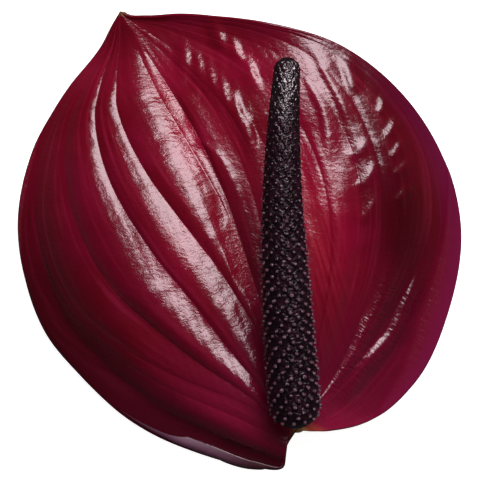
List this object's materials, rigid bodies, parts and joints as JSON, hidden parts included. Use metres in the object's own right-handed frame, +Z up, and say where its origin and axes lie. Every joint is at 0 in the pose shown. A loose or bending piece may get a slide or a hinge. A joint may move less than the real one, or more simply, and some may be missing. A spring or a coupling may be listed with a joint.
{
  "type": "cut anthurium flower",
  "caption": "Cut anthurium bloom with a glossy, pleated, heart-shaped dark red spathe, a leaning near-black spadix and a short stalk, lying face up.",
  "frame": {"origin": "centre of the flower's footprint, on the surface that it lies on", "axes": "+Y along the spathe's midrib from the stalk to the tip, +X to the right of it, +Z up, out of the spathe's glossy face"},
  "size_m": [0.1222, 0.135, 0.0531],
  "materials": {
    "spathe": "lacquered wine-red bract, glossy on its face and matt mauve on its back",
    "spadix": "near-black purple florets, waxy, with pale pink stigmas",
    "stem": "smooth olive-brown stalk with a moist cut end"
  },
  "bodies": {
    "root": {"spathe": "spathe", "spadix": "spadix", "stem": "stem"}
  },
  "joints": []
}
